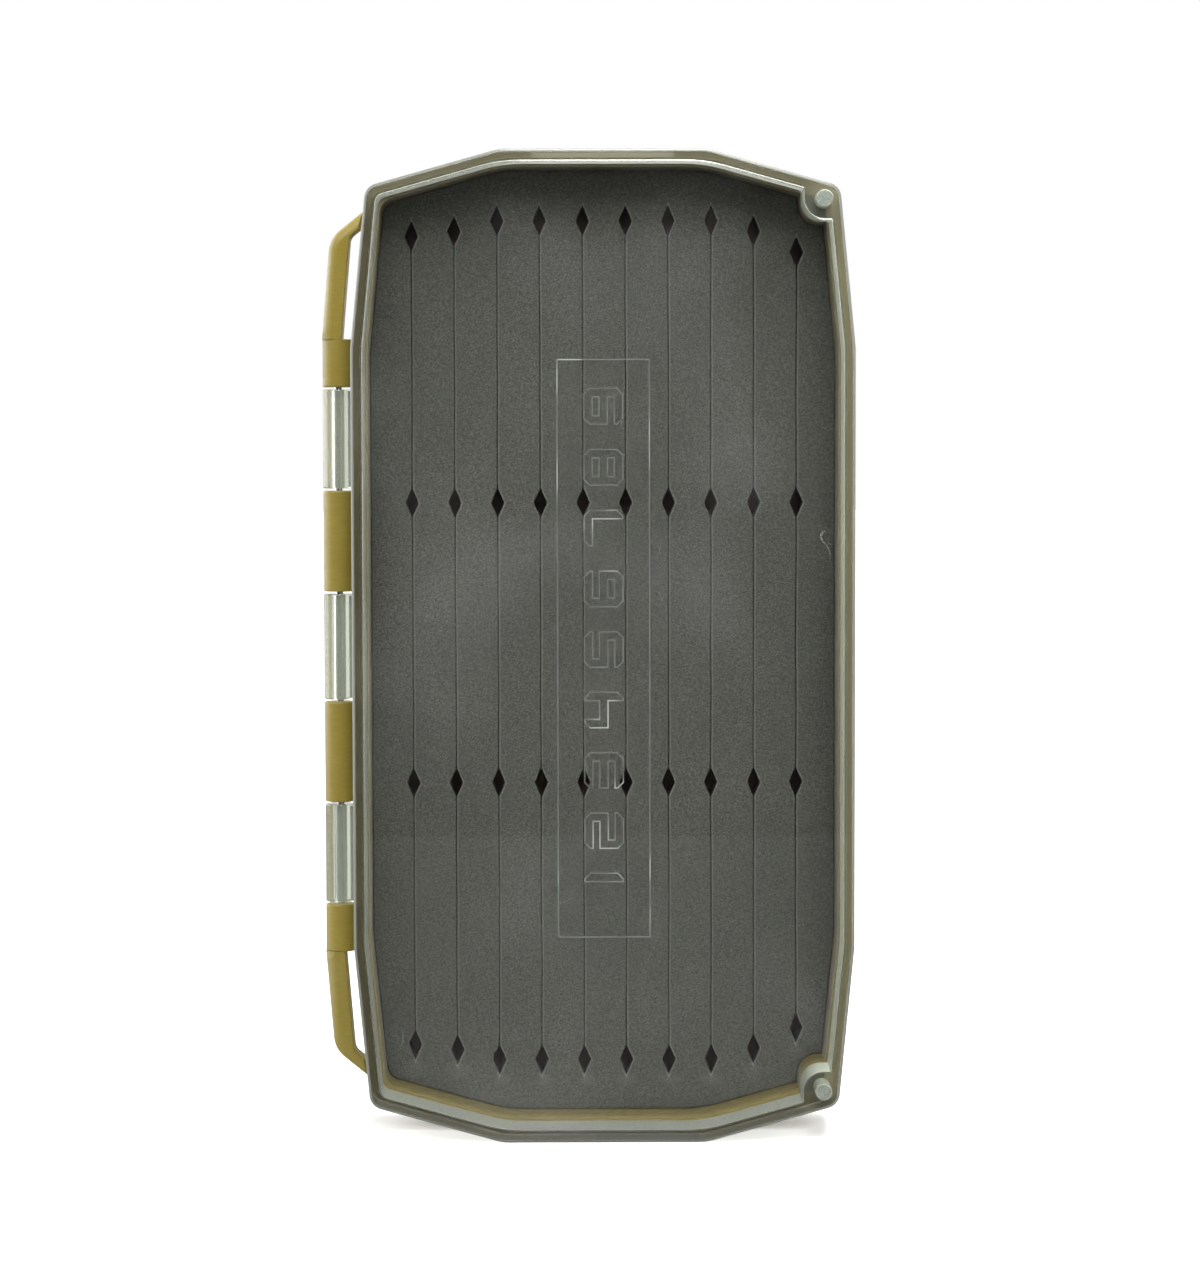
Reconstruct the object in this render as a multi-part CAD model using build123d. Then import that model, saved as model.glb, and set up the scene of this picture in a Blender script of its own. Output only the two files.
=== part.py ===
from build123d import *
import math
import os

# Fly box that stands on one short end.  Millimetres; +Z runs up the long axis,
# the clear lid faces -Y and the hinge is on the -X side.  The origin is the middle
# of the bottom of the bounding box.

# --- overall size -------------------------------------------------------------
height = 190.5
width = 96.3
lid_depth = 13.2
base_depth = 17.8

# --- plan of the box, seen from the front ---------------------------------------
straight_side = 114.8
end_flat = 39.4
corner_inset = 3.0
corner_drop = 7.1
corner_radius = 3.0
outer_blend = 10.0
cavity_blend = 28.0

# --- walls ------------------------------------------------------------------------
lid_wall = 2.0
base_wall = 2.35
lid_skin = 1.6
base_floor = 2.0
lid_inner_corner = 2.0
base_inner_corner = 3.4
lid_front_round = 0.7
lid_inner_round = 0.5
base_back_round = 2.5
parting_round = 0.2

# --- lip that lines the lid up with the base ----------------------------------------
lip_width = 0.8
lip_height = 0.6
lip_clearance = 0.15

# --- hinge ----------------------------------------------------------------------------
knuckle_radius = 2.95
knuckle_clearance = 0.3
knuckle_gap = 0.45
middle_knuckle_pitch = 21.0
side_knuckle_pitch = 20.0
outer_knuckle_pitch = 19.6
end_knuckle_length = 9.7
knuckle_round = 0.3
web_thickness = 2.2
pin_radius = 0.75
pin_clearance = 0.05
pin_end_cap = 1.2
pin_end_play = 0.2

# --- lanyard loops ----------------------------------------------------------------------
loop_bar_width = 3.9
loop_end_thickness = 2.3
loop_side = 17.65
loop_lean = 1.5
loop_slant_angle = 39.0
loop_outer_bend = 5.5
loop_slot_corner = 2.0
loop_edge_round = 1.9
loop_slot_round = 0.3

# --- magnets ------------------------------------------------------------------------------
magnet_radius = 1.6
magnet_length = 9.4
magnet_clearance = 0.05
magnet_setback = 0.25
magnet_round = 0.15
magnet_from_side = 5.8
magnet_from_end = 9.3
pad_radius = 3.95
pad_lip_gap = 0.3

# --- recesses in the base ---------------------------------------------------------------------
end_recess_width = 27.4
end_recess_depth = 1.15
end_recess_reach = 12.0
back_recess_margin = 11.0
back_recess_depth = 0.4

# --- foam -----------------------------------------------------------------------------------
foam_thickness = 6.0
film_thickness = 0.2
foam_clearance = 0.15
column_pitch = 8.4
diamond_width = 2.6
diamond_height = 6.0
inner_row = 27.65
outer_row = 82.9
outer_row_drops = (3.0, 2.0, 0, 0, 0, 0, 0, 0, 2.1, 6.2)
slit_width = 0.25
slit_depth = 4.5

# --- engraving on the lid ---------------------------------------------------------------------
frame_width = 17.6
frame_height = 110.6
line_width = 0.24
line_depth = 0.12
digit_pitch = 11.6
digit_height = 7.4
digit_width = 6.8
digit_stroke = 1.6
digit_bevel = 1.1

# Strokes of a number, named as on a seven-stroke display.
STROKES = {
    "1": "bc", "2": "abged", "3": "abgcd", "4": "fgbc", "5": "afgcd",
    "6": "afgedc", "7": "abc", "8": "abcdefg", "9": "abcdfg",
}

# --- places worked out from the sizes ------------------------------------------------------------
half_width = width / 2
half_height = height / 2
thickness = lid_depth + base_depth
front = -thickness / 2
back = thickness / 2
parting = front + lid_depth
lid_ceiling = front + lid_skin
floor = back - base_floor
film_front = floor - film_thickness
foam_front = film_front - foam_thickness

hinge_standoff = knuckle_radius + knuckle_clearance
body_x = (hinge_standoff + knuckle_radius) / 2
hinge_x = body_x - half_width - hinge_standoff
corner_x = half_width - corner_inset
corner_z = half_height - corner_drop
magnet_x = half_width - magnet_from_side
magnet_z = half_height - magnet_from_end
socket_radius = magnet_radius + magnet_clearance
web_root = lid_wall / 2

first_gap = middle_knuckle_pitch / 2
second_gap = first_gap + side_knuckle_pitch
third_gap = second_gap + outer_knuckle_pitch
knuckle_end = third_gap + end_knuckle_length
bore_radius = pin_radius + pin_clearance
bore_end = knuckle_end - pin_end_cap

# Drawing plane of the plan: x to the right, z up, origin at the box's own middle.
plan_plane = Plane(origin=(body_x, 0, half_height), x_dir=(1, 0, 0), z_dir=(0, -1, 0))
middle_plane = Plane.XY.offset(half_height)


def prism(section, near, far):
    """Fill a section of the plan between two depths, near the front and far from it."""
    return extrude(plan_plane.offset(-far) * section, amount=far - near)


def face_edges(solid, depth):
    """Edges of the solid that lie in the plane at this depth."""
    return solid.edges().filter_by_position(Axis.Y, depth, depth)


# --- plans --------------------------------------------------------------------------------------


def outline(margin=0.0, corner=corner_radius, blend=outer_blend):
    """Plan of the box, drawn in by a margin, with rounded corners and blended obtuse bends."""
    right_top = [(half_width, straight_side / 2), (corner_x, corner_z), (end_flat / 2, half_height)]
    left_top = [(-x, z) for x, z in reversed(right_top)]
    bottom = [(-x, -z) for x, z in right_top + left_top]
    plan = Polygon(*right_top, *left_top, *bottom, align=None)
    if margin:
        plan = offset(plan, amount=-margin, kind=Kind.INTERSECTION)
    by_corner = plan.vertices().sort_by(lambda vertex: abs(vertex.X * vertex.Y))
    bends, corners = by_corner[:-4], by_corner[-4:]
    plan = fillet(corners, corner)
    bends = [min(plan.vertices(), key=lambda v: (v.center() - bend.center()).length) for bend in bends]
    return fillet(bends, blend)


def magnet_places():
    """Plan positions of the two magnet pairs, by name."""
    return {"upper": (magnet_x, magnet_z), "lower": (magnet_x, -magnet_z)}


def corner_pads(grow=0.0):
    """Plan of the solid pads that hold the magnets in the two free corners."""
    reach = pad_radius + grow
    pads = Sketch()
    for x, z in magnet_places().values():
        outwards = math.copysign(half_height, z)
        pads += Pos(x, z) * Circle(reach)
        pads += Pos(x + half_width, z) * Rectangle(width, 2 * reach)
        pads += Pos(x, z + outwards) * Rectangle(2 * reach, height)
        pads += Pos(x + half_width, z + outwards) * Rectangle(width, height)
    return pads


def lid_cavity():
    """Plan of the hollow in the lid, with the pads left solid."""
    return outline(lid_wall, lid_inner_corner, cavity_blend) - corner_pads()


def base_cavity(margin=0.0):
    """Plan of the hollow in the base, drawn in by a margin, with the pads left solid."""
    return outline(base_wall + margin, base_inner_corner, cavity_blend) - corner_pads(margin)


def lip_plan(clearance=0.0):
    """Plan inside the outer face of the lip, with or without the clearance round it."""
    plan = outline(lid_wall - lip_width - clearance, lid_inner_corner, cavity_blend)
    return plan - corner_pads(pad_lip_gap - clearance)


# --- hinge and loops ----------------------------------------------------------------------------


def both_ends(solid):
    """The solid and its mirror image about the middle of the box's height."""
    return solid + mirror(solid, about=middle_plane)


def knuckle(low, high, side):
    """A hinge knuckle and its web; side is -1 for the lid's web and 1 for the base's."""
    length = high - low - knuckle_gap
    middle = half_height + (low + high) / 2
    barrel = Pos(hinge_x, parting, middle) * Cylinder(knuckle_radius, length)
    barrel = fillet(barrel.edges().filter_by(GeomType.CIRCLE), knuckle_round)
    web_size = (hinge_standoff + web_root, web_thickness, length - 2 * knuckle_round)
    web = Box(*web_size, align=(Align.MIN, Align.CENTER, Align.CENTER))
    return barrel + Pos(hinge_x, parting + side * web_thickness / 2, middle) * web


def pin_bore():
    """The hole for the hinge pin, closed at both ends."""
    return Pos(hinge_x, parting, half_height) * Cylinder(bore_radius, 2 * bore_end)


def crossing(first, second):
    """Where two lines cross, each given by a point, an angle in degrees and a shift to its left."""
    rows = []
    for (x, z), angle, shift in (first, second):
        across = (-math.sin(math.radians(angle)), math.cos(math.radians(angle)))
        rows.append((*across, across[0] * x + across[1] * z + shift))
    (a, b, e), (c, d, f) = rows
    return ((e * d - b * f) / (a * d - b * c), (a * f - e * c) / (a * d - b * c))


def lid_swing_room():
    """Round space about the pin that the lid's tapered side never enters."""
    near = hinge_standoff - knuckle_clearance
    taper = [(near, straight_side / 2), (near + corner_inset, corner_z)]
    profile = Polygon((0, 0), (near, 0), *taper, (0, corner_z), align=None)
    return Pos(hinge_x, parting, half_height) * revolve(Plane.XZ * profile, Axis.Z)


def loop_plan():
    """Plan of the upper loop about the hinge's middle, and the bend and angles of its slot."""
    low = ((0, knuckle_end - knuckle_round), 0, 0)
    root = ((hinge_standoff + corner_inset + web_root, 0), 90, 0)
    top = (loop_lean, knuckle_end + loop_side)
    lean_angle = math.degrees(math.atan2(loop_side + knuckle_round, loop_lean))
    side = (top, lean_angle, knuckle_radius)
    slant = (top, loop_slant_angle, knuckle_radius)
    slot_side = (top, lean_angle, knuckle_radius - loop_bar_width)
    slot_end = (top, loop_slant_angle, knuckle_radius - loop_end_thickness)

    bend = crossing(side, slant)
    slot_bend = crossing(slot_side, slot_end)
    outside = [crossing(side, low), bend, crossing(slant, root)]
    plan = Polygon(*outside, crossing(slot_end, root), slot_bend, crossing(slot_side, low), align=None)
    for corner, radius in ((bend, loop_outer_bend), (slot_bend, loop_slot_corner)):
        plan = fillet(min(plan.vertices(), key=lambda v: math.dist((v.X, v.Y), corner)), radius)
    return plan, slot_bend, (lean_angle, loop_slant_angle)


def loop_rims(loop, slot_bend, angles):
    """Long edges of a loop's two faces: those round the outside, then those along its slot."""
    outer, inner = [], []
    turns = [math.radians(angle) for angle in angles]
    root_x = hinge_standoff + corner_inset + web_root
    faces = face_edges(loop, parting - knuckle_radius) + face_edges(loop, parting + knuckle_radius)
    for edge in faces:
        x = edge.center().X - hinge_x
        z = edge.center().Z - half_height
        if min(abs(z - knuckle_end + knuckle_round), abs(x - root_x)) < 0.01:
            continue
        off = [(z - slot_bend[1]) * math.cos(a) - (x - slot_bend[0]) * math.sin(a) for a in turns]
        beside_slot = min(abs(gap) for gap in off) < loop_slot_corner / 2
        (inner if beside_slot else outer).append(edge)
    return outer, inner


def lanyard_loop():
    """The upper loop, well rounded outside, that runs on from the end knuckle back to the wall."""
    plan, slot_bend, angles = loop_plan()
    face = Plane(origin=(hinge_x, parting, half_height), x_dir=(1, 0, 0), z_dir=(0, -1, 0))
    loop = extrude(face * plan, amount=knuckle_radius, both=True)
    loop = fillet(loop_rims(loop, slot_bend, angles)[0], loop_edge_round)
    loop = fillet(loop_rims(loop, slot_bend, angles)[1], loop_slot_round)

    ahead = Box(width, thickness, height, align=(Align.CENTER, Align.MAX, Align.MIN))
    loop -= Pos(hinge_x, parting, half_height) * ahead - lid_swing_room()
    return loop - prism(outline(web_root), parting, back)


# --- sub-parts ------------------------------------------------------------------------------------


def sockets(near, far):
    """Round holes for the magnets between two depths."""
    holes = Part()
    for place in magnet_places().values():
        holes += prism(Pos(*place) * Circle(socket_radius), near, far)
    return holes


def end_recess():
    """Shallow recess in the upper end of the base, open at the rim."""
    size = (end_recess_width, end_recess_reach, 2 * end_recess_depth)
    return Pos(body_x, parting, height) * Box(*size, align=(Align.CENTER, Align.MIN, Align.CENTER))


def base_shell():
    """Moulded tray with its lip, four knuckles and two lanyard loops."""
    shell = prism(outline(), parting, back)
    shell = fillet(face_edges(shell, back), base_back_round)
    shell = fillet(face_edges(shell, parting), parting_round)
    shell -= both_ends(end_recess())
    shell -= prism(outline(back_recess_margin), back - back_recess_depth, back)
    shell += both_ends(knuckle(first_gap, second_gap, 1))
    shell += both_ends(knuckle(third_gap, knuckle_end, 1) + lanyard_loop())
    shell += prism(lip_plan(), parting - lip_height, parting)
    shell -= prism(lid_cavity(), parting - lip_height, parting)
    hollow = prism(base_cavity(), parting, floor)
    shell -= fillet(face_edges(hollow, floor), foam_clearance)
    shell -= sockets(parting, parting + magnet_setback + magnet_length)
    return shell - pin_bore()


def lid_shell():
    """Clear cover with its three knuckles, the rebate for the lip and the engraving."""
    shell = prism(outline(), front, parting)
    shell = fillet(face_edges(shell, front), lid_front_round)
    shell = fillet(face_edges(shell, parting), parting_round)
    shell += knuckle(-first_gap, first_gap, -1) + both_ends(knuckle(second_gap, third_gap, -1))
    hollow = prism(lid_cavity(), lid_ceiling, parting)
    shell -= fillet(face_edges(hollow, lid_ceiling), lid_inner_round)
    shell -= prism(lip_plan(lip_clearance), parting - lip_height - lip_clearance, parting)
    shell -= sockets(parting - magnet_setback - magnet_length, parting)
    shell -= prism(engraving_plan(), front, front + line_depth)
    return shell - pin_bore()


def hinge_pin():
    """Round steel rod through all seven knuckles."""
    rod = Cylinder(pin_radius, 2 * (bore_end - pin_end_play))
    rod = chamfer(rod.edges().filter_by(GeomType.CIRCLE), pin_radius / 4)
    return Pos(hinge_x, parting, half_height) * rod


def magnet(place, near):
    """Plated rod magnet whose front end is at this depth."""
    rod = prism(Pos(*place) * Circle(magnet_radius), near, near + magnet_length)
    return fillet(rod.edges().filter_by(GeomType.CIRCLE), magnet_round)


def diamonds():
    """Plan of the diamond holes, four to a column, with the outermost ones drawn in."""
    holes = Sketch()
    upper = [(diamond_width / 2, 0), (0, diamond_height / 2)]
    diamond = Polygon(*upper, *[(-x, -z) for x, z in upper], align=None)
    for x, top in columns():
        for z in (-top, -inner_row, inner_row, top):
            holes += Pos(x, z) * diamond
    return holes


def columns():
    """Place of each column of diamonds and the height of its outermost ones."""
    count = len(outer_row_drops)
    for index, drop in enumerate(outer_row_drops):
        yield (index - (count - 1) / 2) * column_pitch, outer_row - drop


def foam_insert():
    """Foam sheet with ten slits, each running through four diamond holes."""
    sheet = prism(base_cavity(foam_clearance), foam_front, film_front)
    sheet -= prism(diamonds(), foam_front, film_front)
    slits = Sketch()
    for x, top in columns():
        slits += Pos(x, 0) * Rectangle(slit_width, 2 * top)
    return sheet - prism(slits, foam_front, foam_front + slit_depth)


def foam_film():
    """Adhesive film that holds the foam on the floor and shows through the diamonds."""
    return prism(base_cavity(foam_clearance), film_front, floor)


# --- engraving --------------------------------------------------------------------------------------


def digit(character):
    """A number built from straight strokes inside a shape with bevelled corners."""
    across = (digit_width - digit_stroke) / 2
    upper = (digit_height - digit_stroke) / 2
    upright = Rectangle(digit_stroke, upper + digit_stroke)
    level = Rectangle(digit_width, digit_stroke)
    strokes = {
        "a": Pos(0, upper) * level, "g": level, "d": Pos(0, -upper) * level,
        "b": Pos(across, upper / 2) * upright, "c": Pos(across, -upper / 2) * upright,
        "f": Pos(-across, upper / 2) * upright, "e": Pos(-across, -upper / 2) * upright,
    }
    shape = Sketch()
    for name in STROKES[character]:
        shape += strokes[name]
    bounds = Rectangle(digit_width, digit_height)
    return shape & chamfer(bounds.vertices(), digit_bevel)


def label(character):
    """A number turned to read up the box, as a thin outline."""
    shape = digit(character)
    outer = offset(shape, amount=line_width / 2, kind=Kind.INTERSECTION)
    inner = offset(shape, amount=-line_width / 2, kind=Kind.INTERSECTION)
    return Rot(0, 0, 90) * (outer - inner)


def engraving_plan():
    """A thin frame round the numbers, which run up the box in order."""
    plan = Rectangle(frame_width + line_width, frame_height + line_width)
    plan -= Rectangle(frame_width - line_width, frame_height - line_width)
    middle = (len(STROKES) + 1) / 2
    for character in STROKES:
        plan += Pos(0, (int(character) - middle) * digit_pitch) * label(character)
    return plan


def build():
    """Every node of the box, by name."""
    nodes = {
        "base_shell": base_shell(),
        "lid_shell": lid_shell(),
        "hinge_pin": hinge_pin(),
        "foam_insert": foam_insert(),
        "foam_film": foam_film(),
    }
    for name, place in magnet_places().items():
        nodes["base_magnet_" + name] = magnet(place, parting + magnet_setback)
        nodes["lid_magnet_" + name] = magnet(place, parting - magnet_setback - magnet_length)
    return nodes


if __name__ == "__main__":
    os.makedirs("parts", exist_ok=True)
    for name, shape in build().items():
        export_step(shape, "parts/" + name + ".step")
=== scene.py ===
import math
from collections import namedtuple
from functools import reduce

import bmesh
import bpy
import numpy as np
from mathutils import Matrix, Vector, noise
from mathutils.geometry import delaunay_2d_cdt


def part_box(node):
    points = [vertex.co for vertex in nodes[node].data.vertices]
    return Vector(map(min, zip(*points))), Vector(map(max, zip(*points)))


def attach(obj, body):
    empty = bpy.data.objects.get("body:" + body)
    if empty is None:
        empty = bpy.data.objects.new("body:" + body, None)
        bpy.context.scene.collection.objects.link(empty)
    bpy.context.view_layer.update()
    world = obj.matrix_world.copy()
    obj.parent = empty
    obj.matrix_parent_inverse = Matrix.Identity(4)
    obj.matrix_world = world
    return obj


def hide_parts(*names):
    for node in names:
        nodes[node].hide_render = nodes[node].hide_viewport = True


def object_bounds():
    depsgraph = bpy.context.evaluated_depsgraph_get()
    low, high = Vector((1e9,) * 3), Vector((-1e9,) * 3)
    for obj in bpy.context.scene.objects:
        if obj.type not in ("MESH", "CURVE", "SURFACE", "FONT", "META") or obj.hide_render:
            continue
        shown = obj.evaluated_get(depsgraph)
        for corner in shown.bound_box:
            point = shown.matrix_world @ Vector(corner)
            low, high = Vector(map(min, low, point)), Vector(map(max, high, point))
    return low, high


# Fly box that stands on its short end, clear lid towards -Y.  Metres, in the frame of the CAD.

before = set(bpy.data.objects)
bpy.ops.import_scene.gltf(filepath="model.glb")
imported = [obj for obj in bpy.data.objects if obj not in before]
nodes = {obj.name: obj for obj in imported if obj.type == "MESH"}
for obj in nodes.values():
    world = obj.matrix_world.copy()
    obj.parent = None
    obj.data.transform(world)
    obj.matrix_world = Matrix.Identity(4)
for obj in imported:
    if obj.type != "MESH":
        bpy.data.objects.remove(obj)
cad_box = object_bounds()

MM = 0.001

# --- places taken from the frame ----------------------------------------------------------
lid_low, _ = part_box("lid_shell")
pin_low, pin_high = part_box("hinge_pin")
foam_low, foam_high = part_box("foam_insert")
box_low, box_high = cad_box
front = lid_low.y
parting = (pin_low.y + pin_high.y) / 2  # the pin's axis lies in the parting plane
height = box_high.z
middle_x = (foam_low.x + foam_high.x) / 2
middle_z = height / 2
knuckle_side = box_low.x + 6.3 * MM  # knuckles and loops lie to the left of this

# --- sizes of the box, as in the CAD ------------------------------------------------------
lid_skin = 1.6 * MM
box_width = 96.3 * MM
straight_side = 114.8 * MM
end_flat = 39.4 * MM
corner_inset = 3.0 * MM
corner_drop = 7.1 * MM
magnet_from_side = 5.8 * MM
magnet_from_end = 9.3 * MM
pad_centre = Vector((box_width / 2 - magnet_from_side, height / 2 - magnet_from_end))

# --- foam: the sizes of the CAD solid that it stands for ----------------------------------
foam_margin = 2.5 * MM
foam_corner_radius = 3.4 * MM
foam_blend = 28.0 * MM
foam_pad_radius = 4.10 * MM
column_pitch = 8.4 * MM
inner_row = 27.65 * MM
outer_row = 82.9 * MM
outer_row_drops = [drop * MM for drop in (3.0, 2.0, 0, 0, 0, 0, 0, 0, 2.1, 6.2)]
diamond_half_width = 1.3 * MM
diamond_half_height = 3.0 * MM
slit_floor = foam_low.y + 4.5 * MM

# --- foam: what the cutter and the hooks have left, which the CAD solid lacks -------------
column_shift = 0.27 * MM
slit_half_width = 0.07 * MM
foam_round = 0.13 * MM
foam_pillow = 0.10 * MM
foam_wave = 0.05 * MM
foam_lip = 0.28 * MM
pillow_width = 3.0 * MM
pressed_face = foam_low.y + foam_pillow
torn_column = 2
torn_rise = 1.2 * MM
torn_reach = 0.5 * MM
torn_depth = 0.35 * MM

# --- foam: how finely its mesh is divided -------------------------------------------------
pad_steps = 12
diamond_steps = 6
slit_step = 1.9 * MM
fill_pitch = 1.7 * MM
fill_rows, fill_steps = 56, 28

Chain = namedtuple("Chain", "x tops column rows")

# --- camera, fitted to the photo ----------------------------------------------------------
photo_height = 1284
focal_pixels = 3535.6
sensor_width = 36.0
camera_place = Vector((-0.14, -690.24, 135.56)) * MM
camera_pitch = math.radians(3.296)
camera_yaw = math.radians(0.215)
camera_roll = math.radians(-0.130)


# --- node helpers -------------------------------------------------------------------------


class Shade:
    """Nodes of a material or a world under construction, with short calls for those that it uses."""

    def __init__(self, owner, output="ShaderNodeOutputMaterial"):
        owner.use_nodes = True
        self.owner = owner
        self.tree = owner.node_tree
        self.tree.nodes.clear()
        self.output = self.add(output)
        self.place = self.add("ShaderNodeTexCoord").outputs["Object"]

    def add(self, kind, **values):
        node = self.tree.nodes.new(kind)
        for name, value in values.items():
            setattr(node, name, value)
        return node

    def put(self, socket, value):
        if isinstance(value, bpy.types.NodeSocket):
            self.tree.links.new(value, socket)
        else:
            socket.default_value = value

    def put_colour(self, socket, colour):
        self.put(socket, colour if isinstance(colour, bpy.types.NodeSocket) else (*colour, 1))

    def math(self, operation, a, b=0.0, clamp=False):
        node = self.add("ShaderNodeMath", operation=operation, use_clamp=clamp)
        self.put(node.inputs[0], a)
        self.put(node.inputs[1], b)
        return node.outputs[0]

    def times(self, *factors):
        return reduce(lambda a, b: self.math("MULTIPLY", a, b), factors)

    def most(self, *values):
        return reduce(lambda a, b: self.math("MAXIMUM", a, b), values)

    def above(self, value, limit):
        return self.math("GREATER_THAN", value, limit)

    def below(self, value, limit):
        return self.math("LESS_THAN", value, limit)

    def distance(self, value, middle):
        return self.math("ABSOLUTE", self.math("SUBTRACT", value, middle))

    def noise(self, scale, detail=3.0, roughness=0.5, vector=None, distortion=0.0):
        node = self.add("ShaderNodeTexNoise")
        self.put(node.inputs["Vector"], vector or self.place)
        node.inputs["Scale"].default_value = scale
        node.inputs["Detail"].default_value = detail
        node.inputs["Roughness"].default_value = roughness
        node.inputs["Distortion"].default_value = distortion
        return node.outputs["Fac"]

    def voronoi(self, scale):
        node = self.add("ShaderNodeTexVoronoi", feature="F1")
        self.put(node.inputs["Vector"], self.place)
        node.inputs["Scale"].default_value = scale
        return node.outputs

    def mapped(self, name, values, vector=None):
        node = self.add("ShaderNodeMapping")
        self.put(node.inputs["Vector"], vector or self.place)
        node.inputs[name].default_value = values
        return node.outputs["Vector"]

    def split(self, vector=None):
        node = self.add("ShaderNodeSeparateXYZ")
        self.put(node.inputs[0], vector or self.place)
        return node.outputs

    def span(self, value, low, high, to_low=0.0, to_high=1.0, smooth=True):
        node = self.add("ShaderNodeMapRange")
        node.interpolation_type = "SMOOTHSTEP" if smooth else "LINEAR"
        self.put(node.inputs["Value"], value)
        node.inputs["From Min"].default_value = low
        node.inputs["From Max"].default_value = high
        node.inputs["To Min"].default_value = to_low
        node.inputs["To Max"].default_value = to_high
        return node.outputs["Result"]

    def blend(self, share, a, b):
        node = self.add("ShaderNodeMix", data_type="RGBA", blend_type="MIX")
        self.put(node.inputs[0], share)
        self.put_colour(node.inputs[6], a)
        self.put_colour(node.inputs[7], b)
        return node.outputs[2]

    def bump(self, relief, depth):
        node = self.add("ShaderNodeBump")
        self.put(node.inputs["Height"], relief)
        node.inputs["Strength"].default_value = 1.0
        node.inputs["Distance"].default_value = depth
        return node.outputs["Normal"]

    def principled(self, colour, roughness, **values):
        node = self.add("ShaderNodeBsdfPrincipled")
        self.put_colour(node.inputs["Base Color"], colour)
        self.put(node.inputs["Roughness"], roughness)
        for name, value in values.items():
            self.put(node.inputs[name.replace("_", " ")], value)
        return node.outputs[0]

    def finish(self, surface, volume=None):
        self.tree.links.new(surface, self.output.inputs["Surface"])
        if volume is not None:
            self.tree.links.new(volume, self.output.inputs["Volume"])
        return self.owner


def new_material(name):
    return Shade(bpy.data.materials.new(name))


# --- materials ----------------------------------------------------------------------------


def depth_inside(shade, x, z):
    """How far a place lies inside the box's plan, from the lines through the plan's corners."""
    across = shade.distance(x, middle_x)
    along = shade.distance(z, middle_z)
    corners = [Vector((box_width / 2, 0)), *plan_quarter(), Vector((0, height / 2))]
    depth = None
    for low, high in zip(corners, corners[1:]):
        outwards = Vector((high.y - low.y, low.x - high.x)).normalized()
        reach = shade.math("ADD", shade.times(across, outwards.x), shade.times(along, outwards.y))
        gap = shade.math("SUBTRACT", outwards.dot(low), reach)
        depth = gap if depth is None else shade.math("MINIMUM", depth, gap)
    return depth, across


def olive_plastic():
    """Satin moulded plastic with a fine spark-eroded grain, a painted highlight on its loops, painted light
    and shade inside the tray.
    """
    shade = new_material("olive_plastic")
    x, y, z = shade.split()
    cloud = shade.noise(60, 4)
    colour = shade.blend(shade.span(cloud, 0.35, 0.65), (0.170, 0.128, 0.0145), (0.187, 0.142, 0.0172))
    streak = shade.noise(1500, 3, 0.55, shade.mapped("Scale", (0.25, 0.25, 2.2)))
    colour = shade.blend(shade.span(streak, 0.35, 0.65, 0.0, 0.35), colour, (0.140, 0.104, 0.012))

    # the loops, painted pale towards their outer edge, which faces left: a painted highlight where the light
    # from the left falls
    on_loops = shade.span(shade.distance(z, middle_z), 57 * MM, 64 * MM)
    painted_highlight_left = shade.span(x, box_low.x + 0.3 * MM, box_low.x + 2.6 * MM, 0.20, 0.0)
    colour = shade.blend(shade.times(on_loops, painted_highlight_left), colour, (0.34, 0.315, 0.21))

    # the tray's inner wall: painted shade that darkens it towards the foam, and painted light that makes it
    # pale grey just below the rim, less so near the bottom
    depth, _ = depth_inside(shade, x, z)
    inside_tray = shade.above(depth, 1.0 * MM)
    painted_shade_low_in_tray = shade.span(y, parting + 0.5 * MM, parting + 5.0 * MM, 0.0, 0.60)
    colour = shade.blend(shade.times(inside_tray, painted_shade_low_in_tray), colour, (0.042, 0.034, 0.010))
    # painted light: the wall made pale grey just below the rim
    painted_light_below_rim = shade.span(y, parting + 0.5 * MM, parting + 3.5 * MM, 0.55, 0.0)
    off_bottom = shade.span(z, 14 * MM, 45 * MM, 0.35, 1.0)
    colour = shade.blend(shade.times(inside_tray, painted_light_below_rim, off_bottom), colour, (0.27, 0.26, 0.20))

    grain = shade.noise(7000, 2, 0.6)
    rough = shade.span(shade.noise(500, 3), 0.3, 0.7, 0.34, 0.46)
    normal = shade.bump(shade.math("ADD", grain, shade.times(streak, 0.5)), 0.012 * MM)
    sheen = {"Sheen_Weight": 0.12, "Sheen_Roughness": 0.35}
    return shade.finish(shade.principled(colour, rough, Normal=normal, IOR=1.5, **sheen))


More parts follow.
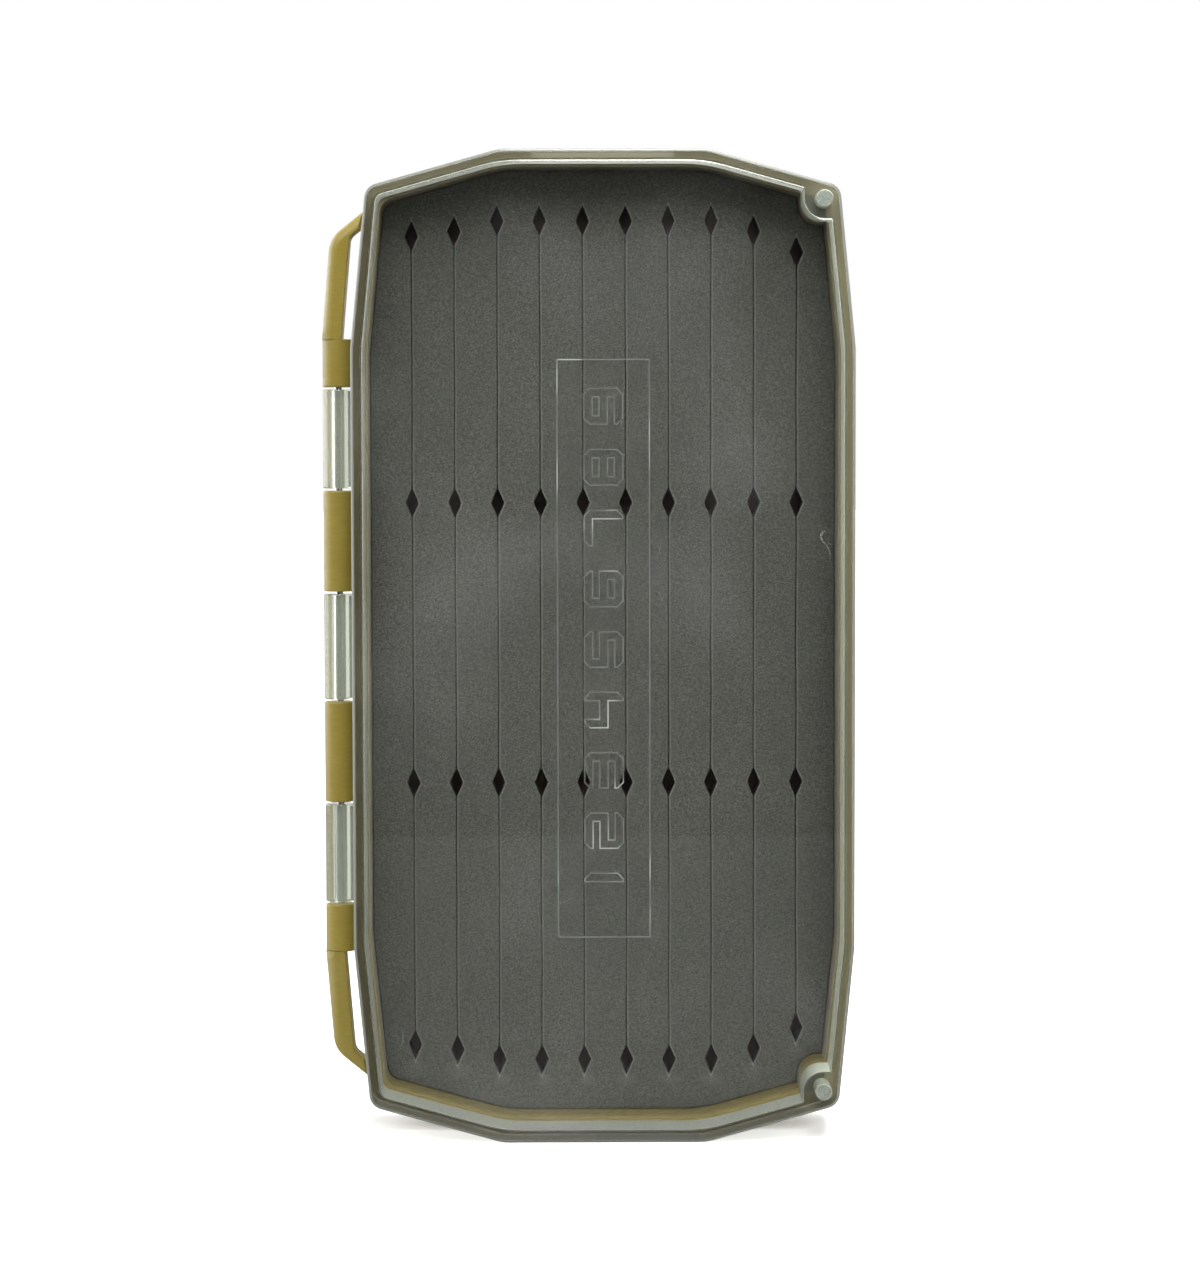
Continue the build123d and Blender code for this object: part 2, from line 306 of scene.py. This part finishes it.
def clear_plastic():
    """Polished smoke-clear plastic, tinted by depth, etched on its inner walls and in its engraving, with
    painted glints in the engraving and painted light on its right-hand side.
    """
    shade = new_material("clear_plastic")
    x, y, z = shade.split()
    level = shade.math("ABSOLUTE", shade.split(shade.add("ShaderNodeTexCoord").outputs["Normal"])[1])
    depth, across = depth_inside(shade, x, z)
    in_plan = shade.above(depth, -0.1 * MM)
    round_end = front + 0.8 * MM

    # engraving: the floor and walls of its grooves, within the frame's width
    below_face = shade.span(y, front + 0.02 * MM, front + 0.04 * MM, smooth=False)
    in_skin = shade.span(y, front + 0.20 * MM, front + 0.22 * MM, 1.0, 0.0, smooth=False)
    in_frame = shade.times(shade.below(across, 12 * MM), shade.above(depth, 5 * MM))
    engraved = shade.times(below_face, in_skin, in_frame)
    # the engraving's frost, made much whiter in spots by a noise: painted glints
    etch_with_painted_glints = shade.times(engraved, shade.span(shade.noise(120, 2), 0.56, 0.66, 0.20, 0.85))

    # walls, rim, front edge and hinge
    upright = shade.span(level, 0.55, 0.9, 1.0, 0.0)
    off_front = shade.span(y, front + lid_skin - 0.1 * MM, front + lid_skin + 0.1 * MM)
    inner_wall = shade.times(shade.above(depth, 1.0 * MM), upright, off_front)
    near_parting = shade.span(y, parting - 0.9 * MM, parting - 0.5 * MM)
    parting_face = shade.times(near_parting, shade.span(level, 0.5, 0.8), in_plan)
    off_level = shade.span(level, 0.94, 0.99, 1.0, 0.0)
    edge_round = shade.times(off_level, shade.below(depth, 1.0 * MM), shade.below(y, round_end), in_plan)
    steep = shade.span(level, 0.2, 0.6, 1.0, 0.0)
    outer_wall = shade.times(steep, shade.below(depth, 0.6 * MM), in_plan, shade.above(y, round_end))
    in_pad = shade.span(depth, 2.3 * MM, 2.9 * MM)
    # painted light: a paler tint on the right-hand wall and rim stands in for light falling on that side
    painted_light_right = shade.span(x, middle_x + 38 * MM, middle_x + 44 * MM)
    hinge = shade.below(x, knuckle_side)

    # dust, hair scratches and finger marks on the front face
    outer_face = shade.span(y, front + 0.01 * MM, front + 0.02 * MM, 1.0, 0.0, smooth=False)
    cell = shade.voronoi(95.0)
    few = shade.above(shade.split(cell["Color"])[0], 0.72)
    speck = shade.times(shade.below(cell["Distance"], 0.012), few)
    hair = shade.below(shade.distance(shade.noise(38, 2, 0.4), 0.5), 0.0014)
    turned = shade.mapped("Rotation", (0.4, 0.9, 0.2))
    scratch = shade.times(hair, shade.above(shade.noise(55, 2, vector=turned), 0.68))
    mark = shade.times(shade.most(speck, shade.times(scratch, 0.3)), outer_face)
    cloud = shade.noise(26, 3, 0.5, vector=shade.mapped("Rotation", (0.2, 0.5, 0.9)))
    smudge = shade.times(shade.span(cloud, 0.47, 0.70, 0.0, 0.017), outer_face)

    white = shade.most(shade.times(etch_with_painted_glints, 0.38), shade.times(mark, 0.5))
    wall_haze = shade.span(y, front + 2.0 * MM, front + 2.3 * MM, 0.85, 0.45)
    rim_haze = shade.span(depth, 0.5 * MM, 1.0 * MM, 0.30, 0.45)
    hazes = [(inner_wall, wall_haze), (parting_face, rim_haze)]
    hazes += [(hinge, 0.13), (edge_round, 0.95), (outer_wall, 0.45)]
    cloudy = shade.most(white, *(shade.times(*pair) for pair in hazes), smudge)
    clear = shade.math("SUBTRACT", 1.0, cloudy, clamp=True)

    polished = shade.span(shade.noise(70, 4), 0.3, 0.75, 0.012, 0.035)
    etch = shade.most(inner_wall, parting_face)
    roughs = [(etch, 0.40), (hinge, 0.09), (engraved, 0.30), (edge_round, 0.35), (outer_wall, 0.30)]
    rough = shade.most(polished, *(shade.times(*pair) for pair in roughs))
    grain = shade.noise(2400, 3, 0.62)
    normal = shade.bump(shade.times(grain, etch), 0.04 * MM)

    milky = shade.blend(shade.span(grain, 0.35, 0.65), (0.33, 0.35, 0.31), (0.53, 0.56, 0.50))
    # painted light on the right-hand walls and rim
    milky = shade.blend(shade.times(painted_light_right, 0.90), milky, (0.84, 0.90, 0.78))
    milky = shade.blend(hinge, milky, (0.66, 0.70, 0.62))
    rim_tone = shade.blend(painted_light_right, (0.28, 0.255, 0.19), (0.54, 0.50, 0.38))
    milky = shade.blend(parting_face, milky, shade.blend(in_pad, rim_tone, (0.20, 0.21, 0.195)))
    milky = shade.blend(outer_wall, milky, (0.20, 0.19, 0.155))
    milky = shade.blend(edge_round, milky, (0.13, 0.135, 0.115))
    milky = shade.blend(shade.above(white, 0.01), milky, (0.70, 0.73, 0.68))
    tint = shade.blend(shade.above(cloudy, 0.025), (1.0, 1.0, 1.0), milky)
    glass = shade.principled(tint, rough, Transmission_Weight=clear, IOR=1.53, Normal=normal)

    let_through = shade.add("ShaderNodeBsdfTransparent")
    let_through.inputs[0].default_value = (0.93, 0.93, 0.93, 1)
    surface = shade.add("ShaderNodeMixShader")
    shade.put(surface.inputs[0], shade.add("ShaderNodeLightPath").outputs["Is Shadow Ray"])
    shade.put(surface.inputs[1], glass)
    shade.put(surface.inputs[2], let_through.outputs[0])
    smoke = shade.add("ShaderNodeVolumeAbsorption")
    smoke.inputs["Color"].default_value = (0.40, 0.43, 0.32, 1)
    smoke.inputs["Density"].default_value = 46.0
    return shade.finish(surface.outputs[0], smoke.outputs[0])


def foam_material():
    """Fine-grained closed-cell foam sheet, charcoal with a green cast, paler along its cuts from wear and a
    painted highlight on their right-hand lips, with painted shade inside them.
    """
    shade = new_material("foam_sheet")
    streaked = shade.mapped("Scale", (1.0, 1.0, 1.8), shade.mapped("Rotation", (0, math.radians(28), 0)))
    grain = shade.noise(1900, 3, 0.75, streaked, distortion=0.6)
    fine = shade.noise(4600, 2, 0.6, streaked)
    cloud = shade.span(shade.noise(40, 3), 0.35, 0.65)
    tone = shade.blend(cloud, (0.136, 0.141, 0.122), (0.156, 0.160, 0.136))
    colour = shade.blend(shade.span(grain, 0.38, 0.62), (0.062, 0.065, 0.056), tone)
    colour = shade.blend(shade.span(fine, 0.40, 0.62, 0.0, 0.60), colour, (0.036, 0.038, 0.032))
    colour = shade.blend(shade.span(fine, 0.40, 0.28, 0.0, 0.55), colour, (0.23, 0.235, 0.20))
    # painted shade: the walls of the slits and diamonds darker below the face
    painted_shade_in_cut = shade.span(shade.split()[1], foam_low.y + 0.35 * MM, foam_low.y + 0.7 * MM, 0.0, 0.85)
    colour = shade.blend(painted_shade_in_cut, colour, (0.016, 0.015, 0.013))
    # pale cut edges: partly rubbed wear, and on the right-hand lips a painted highlight
    wear_and_highlight = shade.add("ShaderNodeAttribute", attribute_name="wear_and_highlight").outputs["Fac"]
    colour = shade.blend(shade.times(wear_and_highlight, 0.5), colour, (0.30, 0.31, 0.27))
    relief = shade.math("ADD", grain, shade.times(shade.voronoi(2600)["Distance"], 0.35))
    relief = shade.math("SUBTRACT", relief, shade.times(fine, 0.5))
    return shade.finish(shade.principled(colour, 0.75, Normal=shade.bump(relief, 0.26 * MM), IOR=1.45))


def film_material():
    """Dark brown adhesive film."""
    shade = new_material("adhesive_film")
    colour = shade.blend(shade.noise(300, 3), (0.070, 0.037, 0.031), (0.140, 0.066, 0.054))
    normal = shade.bump(shade.noise(900, 2), 0.02 * MM)
    return shade.finish(shade.principled(colour, 0.5, Normal=normal))


def steel_material():
    """Drawn steel wire with fine marks along it."""
    shade = new_material("drawn_steel")
    marks = shade.noise(6000, 2, 0.6, shade.mapped("Scale", (1, 1, 0.03)))
    rough = shade.span(marks, 0.3, 0.7, 0.12, 0.24)
    normal = shade.bump(marks, 0.004 * MM)
    return shade.finish(shade.principled((0.55, 0.54, 0.53), rough, Metallic=1.0, Normal=normal))


def magnet_material():
    """Satin nickel plate with a pitted, pressed grain."""
    shade = new_material("nickel_plate")
    pits = shade.noise(3600, 3, 0.6)
    blotches = shade.noise(900, 2)
    rough = shade.span(pits, 0.35, 0.65, 0.45, 0.65)
    colour = shade.blend(shade.span(pits, 0.38, 0.62), (0.44, 0.47, 0.43), (0.76, 0.80, 0.73))
    colour = shade.blend(shade.span(blotches, 0.4, 0.7, 0.0, 0.35), colour, (0.38, 0.41, 0.37))
    normal = shade.bump(pits, 0.03 * MM)
    return shade.finish(shade.principled(colour, rough, Metallic=0.15, Normal=normal))


def part_rims(base):
    """Leaves a hairline of air between the base's rim and the lid's, which touch in the CAD."""
    rim = base.vertex_groups.new(name="rim")
    at_rim = [v.index for v in base.data.vertices if abs(v.co.y - parting) < 0.0015 * MM]
    rim.add([k for k in at_rim if base.data.vertices[k].co.x > knuckle_side], 1.0, "REPLACE")
    gap = base.modifiers.new("rim_gap", "DISPLACE")
    gap.vertex_group = "rim"
    gap.direction = "Y"
    gap.mid_level = 0.0
    gap.strength = 0.03 * MM


def paint(piece, material):
    piece.data.materials.clear()
    piece.data.materials.append(material)


# --- foam sheet ---------------------------------------------------------------------------


def rounded(corners, radii, step=0.5 * MM, turn=math.radians(12)):
    """Corners of a polygon, counter-clockwise, each replaced by an arc of its own radius."""
    points = []
    for index, corner in enumerate(corners):
        before = (corners[index - 1] - corner).normalized()
        after = (corners[(index + 1) % len(corners)] - corner).normalized()
        half = before.angle(after) / 2
        radius = radii[index]
        middle = corner + (before + after).normalized() * (radius / math.sin(half))
        first = corner + before * (radius / math.tan(half)) - middle
        sweep = math.pi - 2 * half
        count = max(2, round(radius * sweep / step), round(sweep / turn))
        for share in range(count + 1):
            points.append(middle + Matrix.Rotation(sweep * share / count, 2) @ first)
    return points


def plan_quarter():
    """Corners of the box's plan in its upper right quarter, from the side to the end."""
    return [
        Vector((box_width / 2, straight_side / 2)),
        Vector((box_width / 2 - corner_inset, height / 2 - corner_drop)),
        Vector((end_flat / 2, height / 2)),
    ]


def inset_plan(margin):
    """Corners of the box's plan drawn in by a margin, counter-clockwise from the lower right."""
    quarter = plan_quarter()
    corners = [Vector((p.x, -p.y)) for p in reversed(quarter)] + quarter
    corners += [Vector((-p.x, p.y)) for p in reversed(quarter)] + [Vector((-p.x, -p.y)) for p in quarter]
    moved = []
    for index, corner in enumerate(corners):
        before = (corner - corners[index - 1]).normalized()
        after = (corners[(index + 1) % len(corners)] - corner).normalized()
        inwards = Vector((-before.y, before.x)) + Vector((-after.y, after.x))
        moved.append(corner + inwards * (margin / (1 + before.dot(after))))
    return moved


def in_pad(point):
    """Whether a point of the plan lies in one of the magnet pads of the right-hand corners."""
    across, along = point.x - pad_centre.x, abs(point.y) - pad_centre.y
    if across < 0 and along < 0:
        return math.hypot(across, along) < foam_pad_radius
    return across > -foam_pad_radius and along > -foam_pad_radius


def pad_border(within, beyond):
    """The place on the line from a point in a pad to one outside it where the pad ends."""
    for _ in range(30):
        half = (within + beyond) / 2
        within, beyond = (half, beyond) if in_pad(half) else (within, half)
    return beyond


def foam_outline():
    """The sheet's plan: the box's plan with the magnet pads cut out of its right-hand corners."""
    corners = inset_plan(foam_margin)
    radii = [foam_corner_radius if index % 3 == 1 else foam_blend for index in range(len(corners))]
    plan = rounded(corners, radii)
    arc = [math.radians(270 - 90 * share / pad_steps) for share in range(pad_steps + 1)]
    pad = [pad_centre + foam_pad_radius * Vector((math.cos(a), math.sin(a))) for a in arc]

    edge = []
    for index, point in enumerate(plan):
        following = plan[(index + 1) % len(plan)]
        if not in_pad(point):
            edge.append(point)
            if in_pad(following):
                edge.append(pad_border(following, point))
                edge += pad if point.y > 0 else [Vector((p.x, -p.y)) for p in reversed(pad)]
        elif not in_pad(following):
            edge.append(pad_border(point, following))
    return [point for index, point in enumerate(edge) if (point - edge[index - 1]).length > 0.05 * MM]


def drawn_in(loop, distance):
    """A closed counter-clockwise loop moved inwards, point by point."""
    moved = []
    for index, point in enumerate(loop):
        along = (loop[(index + 1) % len(loop)] - loop[index - 1]).normalized()
        moved.append(point + Vector((-along.y, along.x)) * distance)
    return moved


def waver(column, along):
    """How far a hand-guided cut strays from its straight line."""
    slow = 0.10 * MM * noise.noise(Vector((column * 7.3, 0.5, along * 60)))
    return slow + 0.03 * MM * noise.noise(Vector((column * 3.1, 5.5, along * 900)))


def chain_rows(tops):
    """Rows up one slit: height, half width, and the number of the diamond, or -1 between diamonds."""
    places = [-tops, -inner_row, inner_row, tops]
    shoulder = diamond_half_height * (1 - slit_half_width / diamond_half_width)
    rows = []
    for low, high in zip(places, places[1:]):
        start, end = low + shoulder, high - shoulder
        count = max(2, round((end - start) / slit_step))
        rows += [(start + (end - start) * share / count, slit_half_width, -1) for share in range(1, count)]
    for number, place in enumerate(places):
        # the chain's two end tips are points of their own, which chain_ring adds
        lowest, highest = number == 0, number == len(places) - 1
        for share in range(-diamond_steps + lowest, diamond_steps + 1 - highest):
            away = shoulder * share / diamond_steps
            half = diamond_half_width * (1 - abs(away) / diamond_half_height)
            rows.append((place + away, half, number))
    return sorted(rows)


def foam_chains():
    """The ten slits with their diamonds, from the left."""
    chains = []
    for column, drop in enumerate(outer_row_drops):
        x = (column - (len(outer_row_drops) - 1) / 2) * column_pitch + column_shift
        chains.append(Chain(x, outer_row - drop, column, chain_rows(outer_row - drop)))
    return chains


def chain_ring(chain, grow):
    """Closed counter-clockwise loop round a slit with its diamonds, grown by a distance."""
    slope = math.hypot(diamond_half_width, diamond_half_height) / diamond_half_height
    tip = chain.tops + diamond_half_height * (1 + grow * slope / diamond_half_width)
    right, left = [], []
    for along, half, number in chain.rows:
        reach = half + grow * (slope if number >= 0 else 1.0)
        at_tear = chain.column == torn_column and abs(along + chain.tops - torn_rise) < torn_reach
        torn = torn_depth if at_tear else 0.0
        middle = chain.x + waver(chain.column, along)
        right.append(Vector((middle + reach, along)))
        left.append(Vector((middle - reach - torn, along)))
    ends = [Vector((chain.x + waver(chain.column, side * chain.tops), side * tip)) for side in (-1, 1)]
    return [ends[0]] + right + [ends[1]] + left[::-1]


def inside(spots, loop):
    """Whether each spot, a row of an array, lies inside a closed loop."""
    corners = np.array([(p.x, p.y) for p in loop])
    following = np.roll(corners, -1, axis=0)
    found = np.zeros(len(spots), bool)
    for (ax, ay), (bx, by) in zip(corners, following):
        if ay == by:
            continue
        crossed = (ay > spots[:, 1]) != (by > spots[:, 1])
        found ^= crossed & (spots[:, 0] < (bx - ax) * (spots[:, 1] - ay) / (by - ay) + ax)
    return found


def fill_between(outer, holes, spots=()):
    """Triangles that fill a loop round its holes, using loose spots, as points and index triples."""
    points, edges = [], []
    for loop in [outer] + holes:
        start = len(points)
        points += loop
        edges += [(start + k, start + (k + 1) % len(loop)) for k in range(len(loop))]
    count = len(points)
    points += spots
    whole_hull, nearest = 0, 1e-8
    found = delaunay_2d_cdt(points, edges, [], whole_hull, nearest)
    plan = np.array([(p.x, p.y) for p in found[0]])
    triangles = np.array(found[2])
    centres = plan[triangles].mean(axis=1)
    keep = inside(centres, outer)
    for hole in holes:
        low, high = min(p.x for p in hole), max(p.x for p in hole)
        close = (centres[:, 0] > low) & (centres[:, 0] < high)
        keep[close] &= ~inside(centres[close], hole)
    on_loop = [any(k < count for k in origin) for origin in found[3]]
    return plan, triangles[keep], on_loop


def fill_spots(edge, chains):
    """Loose spots between the cuts, clear of them and of the sheet's edge, for the face's pillow."""
    beside_slit, beside_diamond, beside_edge = 0.9 * MM, 2.3 * MM, 1.1 * MM
    diamond_zone, end_zone = 8 * MM, outer_row + 4.2 * MM
    diamond_rows = (inner_row, outer_row - 3 * MM)
    spots = []
    for row in range(-fill_rows, fill_rows + 1):
        for step in range(-fill_steps, fill_steps + 1):
            spot = Vector(((step + 0.5 * (row % 2)) * fill_pitch, row * fill_pitch))
            from_chain = min(abs(spot.x - chain.x) for chain in chains)
            from_row = min(abs(abs(spot.y) - place) for place in diamond_rows)
            clearance = beside_slit if from_row > diamond_zone else beside_diamond
            if abs(spot.y) > end_zone or from_chain > clearance:
                spots.append(spot)
    well_in = inside(np.array([(p.x, p.y) for p in spots]), drawn_in(edge, beside_edge))
    return [spot for spot, good in zip(spots, well_in) if good]


def face_heights(plan, on_loop, outer, chains):
    """Where each place of the face stands: pressed in at cuts and edges, faintly uneven between them."""
    edge_points = np.array([(p.x, p.y) for p in outer])
    heights = []
    for (x, z), fixed in zip(plan, on_loop):
        away = np.hypot(edge_points[:, 0] - x, edge_points[:, 1] - z).min()
        for chain in chains:
            beyond = max(abs(z) - chain.tops - diamond_half_height, 0.0)
            away = min(away, math.hypot(abs(x - chain.x), beyond))
        share = 1.0 if fixed else max(0.0, 1 - away / pillow_width) ** 2
        wave = 0.0 if fixed else foam_wave * max(0.0, noise.noise(Vector((x * 70, 3.0, z * 70))))
        heights.append(foam_low.y + foam_pillow * share + wave)
    return heights


class Sheet:
    """A mesh under construction from loops in the foam's plan, each at its own place along Y."""

    def __init__(self):
        self.mesh = bmesh.new()

    def at(self, point, y):
        return self.mesh.verts.new((point.x + middle_x, y, point.y + middle_z))

    def face(self, *corners):
        self.mesh.faces.new([self.at(point, y) for point, y in corners])

    def band(self, loop, y, next_loop, next_y):
        for k in range(len(loop)):
            after = (k + 1) % len(loop)
            self.face((loop[k], y), (loop[after], y), (next_loop[after], next_y), (next_loop[k], next_y))

    def bands(self, loops, heights):
        for step in zip(loops, heights, loops[1:], heights[1:]):
            self.band(*step)

    def wall(self, a, b):
        """Side of a diamond hole, from the slit's floor to the sheet's back."""
        self.face((a, slit_floor), (b, slit_floor), (b, foam_high.y), (a, foam_high.y))

    def fill(self, plan, heights, triangles):
        vertices = [self.at(Vector(spot), y) for spot, y in zip(plan, heights)]
        for triangle in triangles:
            self.mesh.faces.new([vertices[k] for k in triangle])

    def finish(self, name):
        bmesh.ops.remove_doubles(self.mesh, verts=self.mesh.verts, dist=0.002 * MM)
        bmesh.ops.recalc_face_normals(self.mesh, faces=self.mesh.faces)
        data = bpy.data.meshes.new(name)
        self.mesh.to_mesh(data)
        self.mesh.free()
        data.polygons.foreach_set("use_smooth", [True] * len(data.polygons))
        return data


def cut_chain(sheet, chain, insets, heights):
    """Walls and floor of a slit with its diamonds; gives the diamonds' openings in the sheet's back."""
    rings = [chain_ring(chain, inset) for inset in insets]
    sheet.bands(rings + rings[-1:], heights + [slit_floor])
    count = len(chain.rows)
    ring = rings[-1]
    low_tip, high_tip = ring[0], ring[count + 1]
    right, left = ring[1:count + 1], ring[count + 2:][::-1]
    numbers = [number for _, _, number in chain.rows]
    for k in range(count - 1):
        if numbers[k] >= 0 and numbers[k] == numbers[k + 1]:
            sheet.wall(right[k], right[k + 1])
            sheet.wall(left[k], left[k + 1])
            continue
        sheet.face(*[(p, slit_floor) for p in (right[k], right[k + 1], left[k + 1], left[k])])
        for end in (k, k + 1):
            if numbers[end] >= 0:
                sheet.wall(right[end], left[end])
    for tip, end in ((low_tip, 0), (high_tip, -1)):
        sheet.wall(tip, right[end])
        sheet.wall(tip, left[end])

    openings = []
    for number in range(4):
        mine = [k for k in range(count) if numbers[k] == number]
        above = [high_tip] if number == 3 else []
        below = [low_tip] if number == 0 else []
        openings.append([right[k] for k in mine] + above + [left[k] for k in reversed(mine)] + below)
    return openings


def wear_and_highlight_edges(data, lips, rings):
    """Marks where the sheet is paler: its cut edges, rubbed pale and, most on the right, a painted highlight;
    and below the lowest tips, rubbed pale.
    """
    on_right, on_left, on_tip, below_tip = 0.75, 0.05, 1.7, 0.3
    worn_and_lit = {}
    for lip, ring in zip(lips, rings):
        right_end = len(lip) // 2
        for k, point in enumerate(lip):
            worn_and_lit[round(point.x, 6), round(point.y, 6)] = on_right if k <= right_end else on_left
        worn_and_lit[round(lip[0].x, 6), round(lip[0].y, 6)] = on_tip
        worn_and_lit[round(ring[0].x, 6), round(ring[0].y, 6)] = below_tip
    wear_and_highlight = data.attributes.new("wear_and_highlight", "FLOAT", "POINT")
    for vertex, mark in zip(data.vertices, wear_and_highlight.data):
        spot = (round(vertex.co.x - middle_x, 6), round(vertex.co.z - middle_z, 6))
        mark.value = worn_and_lit.get(spot, 0.0) if vertex.co.y < pressed_face + 0.02 * MM else 0.0


def make_foam():
    """Foam sheet with ten cut slits that run through diamond holes, its edges pressed round."""
    turns = [math.radians(90 * share / 3) for share in range(4)]
    insets = [foam_round * (1 - math.sin(turn)) for turn in turns]
    heights = [pressed_face + foam_round * (1 - math.cos(turn)) for turn in turns]
    edge = foam_outline()
    chains = foam_chains()
    lips = [chain_ring(chain, foam_round) for chain in chains]
    rings = [chain_ring(chain, foam_round + foam_lip) for chain in chains]
    outer = drawn_in(edge, foam_round)

    sheet = Sheet()
    plan, triangles, on_loop = fill_between(outer, rings, fill_spots(edge, chains))
    sheet.fill(plan, face_heights(plan, on_loop, outer, chains), triangles)
    for lip, ring in zip(lips, rings):
        sheet.band(ring, pressed_face, lip, pressed_face)
    sides = [drawn_in(edge, inset) for inset in insets]
    sheet.bands(sides + sides[-1:], heights + [foam_high.y])

    openings = []
    for chain in chains:
        openings += cut_chain(sheet, chain, insets, heights)
    plan, triangles, _ = fill_between(sides[-1], openings)
    sheet.fill(plan, [foam_high.y] * len(plan), triangles)

    data = sheet.finish("slit_foam")
    wear_and_highlight_edges(data, lips, rings)
    piece = bpy.data.objects.new("slit_foam", data)
    bpy.context.scene.collection.objects.link(piece)
    return piece


# --- floor, light and camera --------------------------------------------------------------


def make_world():
    """White for the camera, through the clear lid and behind the box; a dark room that the lid faces."""
    world = bpy.data.worlds.new("studio")
    bpy.context.scene.world = world
    shade = Shade(world, "ShaderNodeOutputWorld")
    _, ahead, upwards = shade.split(shade.add("ShaderNodeTexCoord").outputs["Generated"])
    room = shade.span(upwards, -0.2, 0.2, 0.012, 0.03)
    backdrop = shade.span(ahead, -0.45, 0.1)
    path = shade.add("ShaderNodeLightPath").outputs
    # a ray's depth counts one more here than on a surface, so this matches the floor's limit
    early = shade.span(path["Ray Depth"], 3.4, 3.6, 1.0, 0.0)
    through = shade.times(path["Is Transmission Ray"], early)
    background = shade.add("ShaderNodeBackground")
    background.inputs["Color"].default_value = (1, 1, 1, 1)
    shade.put(background.inputs["Strength"], shade.most(room, backdrop, path["Is Camera Ray"], through))
    shade.finish(background.outputs[0])


def make_floor():
    """White table top that ends half a metre in front of the box and glows for the eye, less near the box."""
    mesh = bpy.data.meshes.new("floor")
    left, right, near, far = -3.0, 3.0, -0.54, 6.0  # metres
    corners = [(left, near, 0), (right, near, 0), (right, far, 0), (left, far, 0)]
    mesh.from_pydata(corners, [], [(0, 1, 2, 3)])
    floor = bpy.data.objects.new("floor", mesh)
    bpy.context.scene.collection.objects.link(floor)

    shade = new_material("white_table")
    path = shade.add("ShaderNodeLightPath").outputs
    tone = shade.blend(path["Is Glossy Ray"], (0.85, 0.85, 0.85), (0.012, 0.012, 0.012))
    surface = shade.principled(tone, 0.5)
    away = shade.add("ShaderNodeVectorMath", operation="LENGTH")
    shade.put(away.inputs[0], shade.place)
    direct = shade.times(path["Is Camera Ray"], shade.span(away.outputs["Value"], 0.12, 0.5, 0.12, 0.75))
    # through the clear lid the table glows too, but hardly within this distance of the origin
    near_x, near_y = 52 * MM, 40 * MM
    x, y, _ = shade.split()
    beside = shade.math("SUBTRACT", shade.math("ABSOLUTE", x), near_x)
    beyond = shade.math("SUBTRACT", shade.math("ABSOLUTE", y), near_y)
    clear_of_box = shade.span(shade.most(beside, beyond), 0.0, 12 * MM, 0.12, 1.0)
    early = shade.below(path["Ray Depth"], 2.5)
    through = shade.times(path["Is Transmission Ray"], early, clear_of_box)
    glow = shade.add("ShaderNodeEmission")
    shade.put(glow.inputs["Strength"], shade.most(direct, through))
    both = shade.add("ShaderNodeAddShader")
    shade.put(both.inputs[0], surface)
    shade.put(both.inputs[1], glow.outputs[0])
    paint(floor, shade.finish(both.outputs[0]))


def soft_light(name, place, target, size, power):
    lamp = bpy.data.lights.new(name, "AREA")
    lamp.shape = "RECTANGLE"
    lamp.size, lamp.size_y = size
    lamp.energy = power
    light = bpy.data.objects.new(name, lamp)
    light.location = place
    light.rotation_mode = "QUATERNION"
    light.rotation_quaternion = (Vector(target) - Vector(place)).to_track_quat("-Z", "Y")
    bpy.context.scene.collection.objects.link(light)


def make_lights():
    centre = (0, 0, middle_z)
    soft_light("main", (-0.05, -0.72, 0.78), centre, (1.4, 0.40), 13.2)
    soft_light("over", (0.08, 0, 0.80), centre, (0.6, 0.25), 9)
    soft_light("back_left", (-0.70, 0.30, 0.20), centre, (0.8, 0.8), 5)
    soft_light("left", (-0.85, -0.12, 0.25), centre, (0.9, 0.9), 3)
    soft_light("right", (0.85, -0.30, 0.25), centre, (0.8, 0.8), 4.2)


def make_camera():
    data = bpy.data.cameras.new("camera")
    data.sensor_width = sensor_width
    data.lens = focal_pixels / photo_height * sensor_width
    data.clip_start = 0.01
    camera = bpy.data.objects.new("camera", data)
    bpy.context.scene.collection.objects.link(camera)
    bpy.context.scene.camera = camera
    pitch, yaw, roll = camera_pitch, camera_yaw, camera_roll
    ahead = Vector((math.sin(yaw) * math.cos(pitch), math.cos(yaw) * math.cos(pitch), -math.sin(pitch)))
    right = Vector((math.cos(yaw), -math.sin(yaw), 0))
    up = right.cross(ahead)
    across = right * math.cos(roll) + up * math.sin(roll)
    above = up * math.cos(roll) - right * math.sin(roll)
    turn = Matrix((across, above, -ahead)).transposed()
    camera.matrix_world = Matrix.Translation(camera_place) @ turn.to_4x4()


paint(nodes["base_shell"], olive_plastic())
part_rims(nodes["base_shell"])
paint(nodes["lid_shell"], clear_plastic())
paint(nodes["hinge_pin"], steel_material())
paint(nodes["foam_film"], film_material())
foam = make_foam()
paint(foam, foam_material())
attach(foam, "base")
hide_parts("foam_insert")
nickel = magnet_material()
for name, node in nodes.items():
    if "magnet" in name:
        paint(node, nickel)

make_world()
make_floor()
make_lights()
make_camera()
bpy.context.scene.view_settings.view_transform = "Standard"
